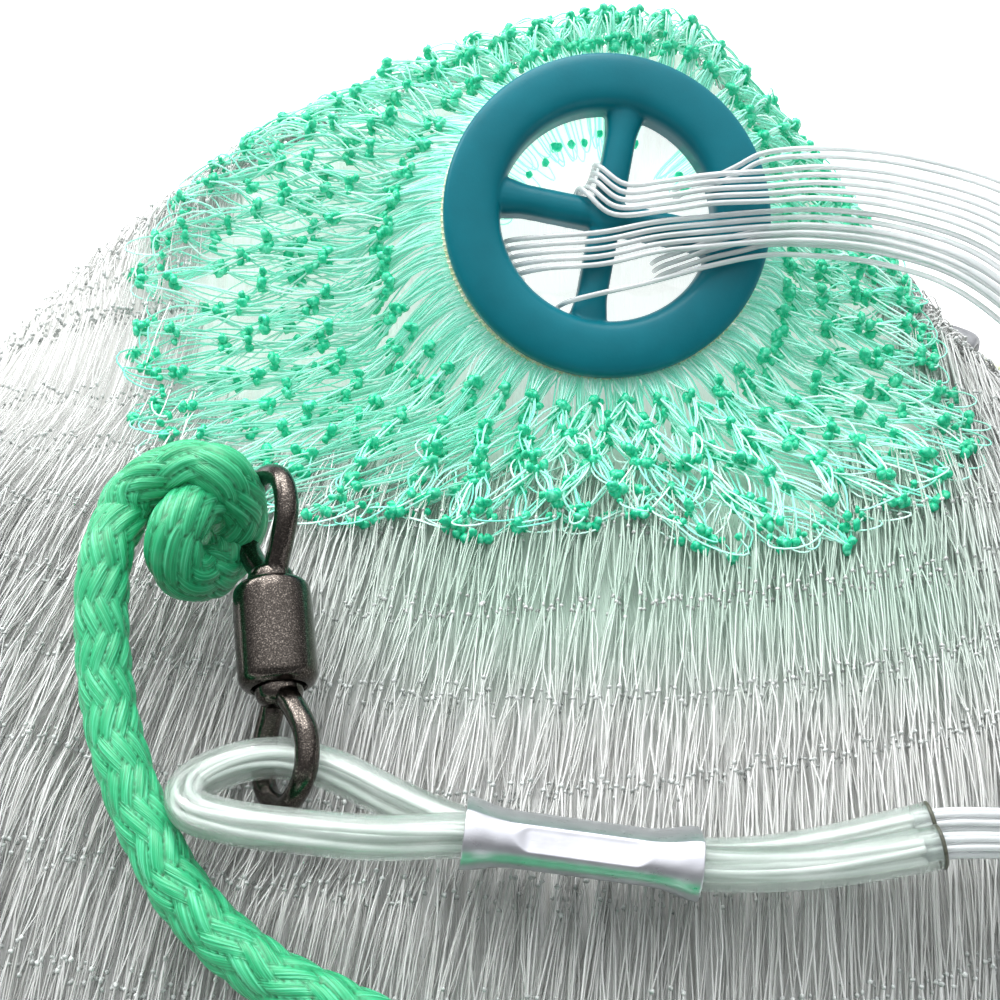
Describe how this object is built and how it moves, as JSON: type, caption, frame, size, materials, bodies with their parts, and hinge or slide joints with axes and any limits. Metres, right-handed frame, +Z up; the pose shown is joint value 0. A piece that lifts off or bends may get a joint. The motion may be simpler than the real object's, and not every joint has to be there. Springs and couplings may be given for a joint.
{
  "type": "cast net",
  "caption": "Throw net laid in a heap: spoked plastic horn, knotted monofilament netting, leads round the foot, braille lines crimped to a swivel, and a coiled hand line.",
  "frame": {"origin": "on the floor under the middle of the lead line's ring", "axes": "+Z up, -Y towards the heap's front where the hand line leaves, +X to the right seen from the front"},
  "size_m": [0.3684, 0.4987, 0.1092],
  "materials": {
    "clear_netting": "clear nylon monofilament, satin",
    "green_netting": "green nylon monofilament, glossy",
    "horn_plastic": "moulded teal plastic, satin",
    "cream_cord": "fine twisted cord",
    "clear_sleeve": "clear soft tube, glossy",
    "clear_line": "clear nylon monofilament, glossy",
    "crimp_metal": "bright satin, pressed",
    "swivel_metal": "black nickel, satin and speckled",
    "green_rope": "braided polypropylene, glossy strands",
    "tie_strap": "woven strap",
    "lead_metal": "dull cast lead"
  },
  "bodies": {
    "root": {"body_netting": "clear_netting", "crown_netting": "green_netting", "horn": "horn_plastic", "horn_lashing": "cream_cord", "chafe_sleeve": "clear_sleeve", "braille_bight": "clear_line", "crimp_sleeve": "crimp_metal", "swivel_eye_upper": "swivel_metal", "hand_line": "green_rope", "hand_line_knot": "green_rope", "hand_line_coil": "green_rope", "coil_tie": "tie_strap", "wrist_loop": "green_rope", "lead_line": "clear_line", "lead_01": "lead_metal", "lead_02": "lead_metal", "lead_03": "lead_metal", "lead_04": "lead_metal", "lead_05": "lead_metal", "lead_06": "lead_metal", "lead_07": "lead_metal", "lead_08": "lead_metal", "lead_09": "lead_metal", "lead_10": "lead_metal", "lead_11": "lead_metal", "lead_12": "lead_metal", "lead_13": "lead_metal", "lead_14": "lead_metal", "lead_15": "lead_metal", "lead_16": "lead_metal", "lead_17": "lead_metal", "lead_18": "lead_metal", "lead_19": "lead_metal", "lead_20": "lead_metal", "lead_21": "lead_metal", "lead_22": "lead_metal", "lead_23": "lead_metal", "lead_24": "lead_metal", "braille_01": "clear_line", "braille_02": "clear_line", "braille_03": "clear_line", "braille_04": "clear_line", "braille_05": "clear_line", "braille_06": "clear_line", "braille_07": "clear_line", "braille_08": "clear_line", "braille_09": "clear_line", "braille_10": "clear_line", "braille_11": "clear_line", "braille_12": "clear_line", "braille_13": "clear_line", "braille_14": "clear_line", "braille_15": "clear_line", "braille_16": "clear_line"},
    "barrel": {"swivel_barrel": "swivel_metal"},
    "lower_eye": {"swivel_eye_lower": "swivel_metal"},
    "slip_knot": {"wrist_slip_knot": "green_rope"}
  },
  "joints": [
    {"name": "barrel_spin", "type": "hinge", "parent": "root", "child": "barrel", "pos_m": [-0.0351, -0.0413, 0.0615], "axis": [-0.129, 0.8931, 0.431], "continuous": true},
    {"name": "lower_eye_turn", "type": "hinge", "parent": "root", "child": "lower_eye", "pos_m": [-0.0351, -0.0413, 0.0615], "axis": [-0.129, 0.8931, 0.431], "range_deg": [-50, 4]},
    {"name": "slip_knot_slide", "type": "slide", "parent": "root", "child": "slip_knot", "axis": [0, 1, 0], "range_m": [0, 0.024]}
  ]
}
